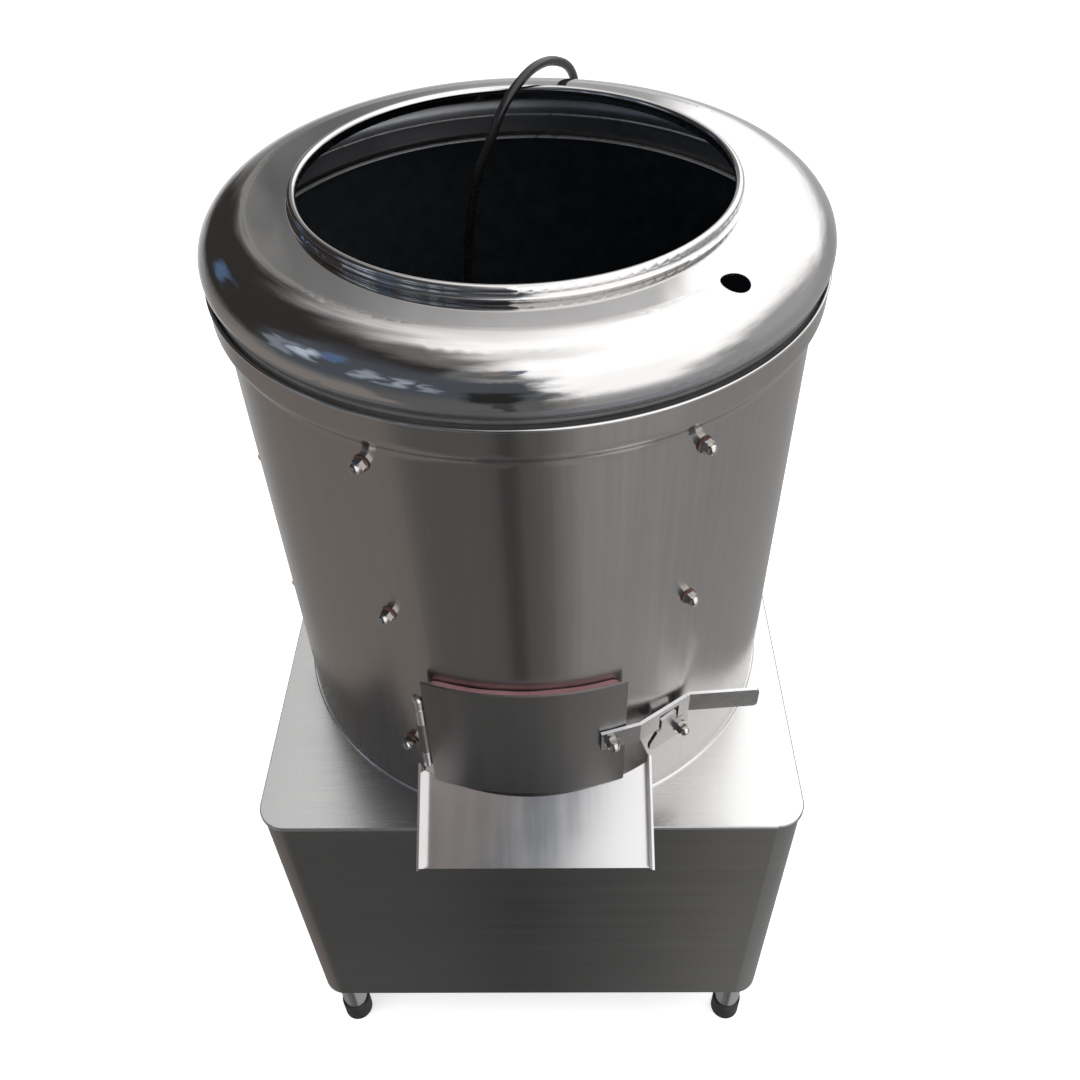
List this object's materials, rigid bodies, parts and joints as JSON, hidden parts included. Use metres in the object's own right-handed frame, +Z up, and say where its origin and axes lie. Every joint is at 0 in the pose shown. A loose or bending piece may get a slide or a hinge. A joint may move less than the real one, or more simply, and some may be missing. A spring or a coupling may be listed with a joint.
{
  "type": "potato peeling machine",
  "caption": "Floor-standing potato peeler: abrasive drum with open hood on a square cabinet, hinged discharge door with latch, chute, belt-driven turntable and power cord.",
  "frame": {"origin": "on the floor under the drum's axis, which is the middle of the machine's footprint without its cord", "axes": "+Z up, -Y towards the operator at the discharge door, +X to the operator's right"},
  "size_m": [0.5, 0.6354, 0.9692],
  "materials": {
    "drum_steel": "satin stainless",
    "hood_steel": "polished stainless",
    "plate_steel": "bright brushed stainless",
    "cabinet_steel": "satin stainless",
    "trim_steel": "satin stainless",
    "fastener_steel": "polished",
    "shaft_steel": "ground",
    "silicone": "matt reddish silicone",
    "black_rubber": "matt",
    "cord_rubber": "satin black",
    "abrasive": "coarse abrasive coat",
    "disc_metal": "cast with a coarse abrasive coat",
    "pulley_iron": "machined",
    "housing_iron": "painted grey",
    "motor_paint": "semi-gloss",
    "fan_plastic": "matt",
    "box_plastic": "fine grain",
    "start_plastic": "gloss",
    "stop_plastic": "gloss",
    "plug_plastic": "satin black"
  },
  "bodies": {
    "machine": {"abrasive_liner": "abrasive", "bearing_housing": "housing_iron", "bearing_outer_rings": "shaft_steel", "cabinet_shell": "cabinet_steel", "catch_plate": "trim_steel", "cord_gland": "box_plastic", "discharge_chute": "trim_steel", "drain_pipe": "trim_steel", "drum_base_ring": "plate_steel", "drum_floor": "trim_steel", "drum_lip_ring": "drum_steel", "drum_shell": "drum_steel", "fan_cover": "motor_paint", "hanger_nuts": "fastener_steel", "hinge_drum_leaf": "trim_steel", "hinge_pin": "fastener_steel", "hood": "hood_steel", "hood_seal": "black_rubber", "housing_bolts": "fastener_steel", "leg_ferrules": "black_rubber", "legs": "trim_steel", "liner_nuts": "fastener_steel", "motor_body": "motor_paint", "motor_hangers": "fastener_steel", "motor_plate": "cabinet_steel", "power_cord": "cord_rubber", "power_plug": "plug_plastic", "rear_panel": "cabinet_steel", "rear_panel_screws": "fastener_steel", "shaft_seal": "black_rubber", "switch_box": "box_plastic", "terminal_box": "box_plastic", "top_plate": "plate_steel", "v_belt": "black_rubber"},
    "disc_rotor": {"turntable_disc": "disc_metal", "peel_wipers": "black_rubber", "hub_nut": "fastener_steel", "main_shaft": "shaft_steel", "bearing_inner_rings": "shaft_steel", "driven_pulley": "pulley_iron", "pulley_end_bolt": "fastener_steel"},
    "motor_rotor": {"motor_shaft": "shaft_steel", "motor_pulley": "pulley_iron", "cooling_fan": "fan_plastic"},
    "door": {"door_plate": "drum_steel", "door_gasket": "silicone", "hinge_door_knuckle": "trim_steel", "latch_pivot": "fastener_steel"},
    "latch": {"latch_lever": "trim_steel"},
    "start_button": {"start_button": "start_plastic"},
    "stop_button": {"stop_button": "stop_plastic"}
  },
  "joints": [
    {"name": "disc_spin", "type": "hinge", "parent": "machine", "child": "disc_rotor", "pos_m": [0, 0, 0.45], "axis": [0, 0, 1], "continuous": true},
    {"name": "motor_spin", "type": "hinge", "parent": "machine", "child": "motor_rotor", "pos_m": [-0.142, 0.14, 0.3], "axis": [0, 0, 1], "continuous": true},
    {"name": "door_hinge", "type": "hinge", "parent": "machine", "child": "door", "pos_m": [-0.0875, -0.22079, 0.55], "axis": [0, 0, -1], "range_deg": [0, 80]},
    {"name": "latch_lift", "type": "hinge", "parent": "door", "child": "latch", "pos_m": [0.07057, -0.22939, 0.564], "axis": [0.294, -0.9558, 0], "range_deg": [0, 18]},
    {"name": "start_press", "type": "slide", "parent": "machine", "child": "start_button", "axis": [0, -1, 0], "range_m": [0, 0.003], "stiffness_N_per_m": 400},
    {"name": "stop_press", "type": "slide", "parent": "machine", "child": "stop_button", "axis": [0, -1, 0], "range_m": [0, 0.003], "stiffness_N_per_m": 400}
  ],
  "couplings": [
    {"joint": "motor_spin", "follows": "disc_spin", "ratio": 5}
  ]
}
